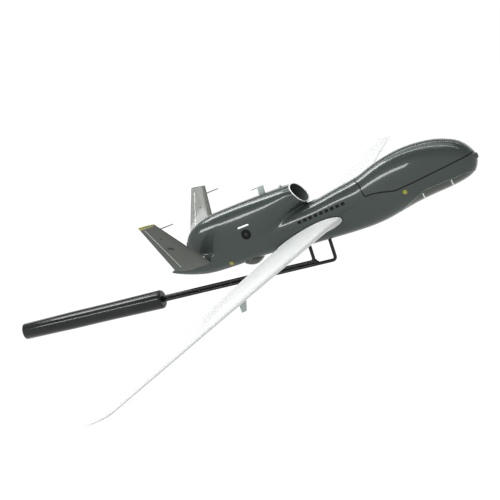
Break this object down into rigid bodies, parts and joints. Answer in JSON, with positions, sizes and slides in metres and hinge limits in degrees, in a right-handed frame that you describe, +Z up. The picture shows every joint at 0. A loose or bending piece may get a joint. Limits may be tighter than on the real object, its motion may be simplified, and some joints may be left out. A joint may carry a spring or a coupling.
{
  "type": "aircraft display model on hand stick",
  "caption": "Slender-winged unmanned aircraft display model with a V tail and dorsal nacelle, carried on a two-pronged rod with a turned black handle.",
  "frame": {"origin": "on the stick's axis at the middle of the handle's grip band", "axes": "+X along the stick towards the aircraft's nose, +Y to the aircraft's left, +Z up, square to the stick"},
  "size_m": [0.4663, 0.8312, 0.0904],
  "materials": {
    "handle_black": "gloss black lacquer",
    "rod_black": "gloss black enamel, slightly lumpy",
    "sleeve_brass": "turned",
    "body_grey": "gloss lacquer",
    "canoe_grey": "gloss lacquer",
    "collar_grey": "gloss lacquer",
    "lens_black": "high gloss",
    "trim_white": "gloss lacquer",
    "intake_black": "matt paint",
    "exhaust_metal": "satin dark grey",
    "wing_white": "gloss lacquer",
    "dowel_wood": "bare",
    "fin_grey": "satin lacquer",
    "probe_grey": "satin",
    "fitting_grey": "gloss lacquer"
  },
  "bodies": {
    "stick": {"handle": "handle_black", "long_rod": "rod_black", "short_rod": "rod_black", "foot_weld": "rod_black", "tack_welds": "rod_black"},
    "airframe": {"socket_sleeve_front": "sleeve_brass", "socket_sleeve_rear": "sleeve_brass", "fuselage": "body_grey", "nose_hood": "body_grey", "nose_camera_collar": "collar_grey", "nose_camera_lens": "lens_black", "belly_canoe": "canoe_grey", "ventral_radome": "canoe_grey", "engine_nacelle": "body_grey", "intake_lip": "trim_white", "intake_blank": "intake_black", "exhaust_ring": "exhaust_metal", "exhaust_plug": "intake_black", "wing_left": "wing_white", "wing_right": "wing_white", "root_fairing_left": "wing_white", "root_fairing_right": "wing_white", "wing_dowel_front": "dowel_wood", "wing_dowel_rear": "dowel_wood", "nacelle_dowels": "dowel_wood", "fin_left": "fin_grey", "fin_right": "fin_grey", "fin_cap_left": "fin_grey", "fin_cap_right": "fin_grey", "fin_dowels": "dowel_wood", "fin_probe_left": "probe_grey", "fin_probe_right": "probe_grey", "dorsal_blade": "fitting_grey", "dorsal_whisker": "probe_grey", "dorsal_beacon": "fitting_grey", "side_blister_left": "trim_white", "side_blister_right": "trim_white", "underwing_blade_left": "fitting_grey", "underwing_blade_right": "fitting_grey"}
  },
  "joints": [
    {"name": "lift_off", "type": "slide", "parent": "stick", "child": "airframe", "axis": [0, 0, 1], "range_m": [0, 0.022]}
  ]
}
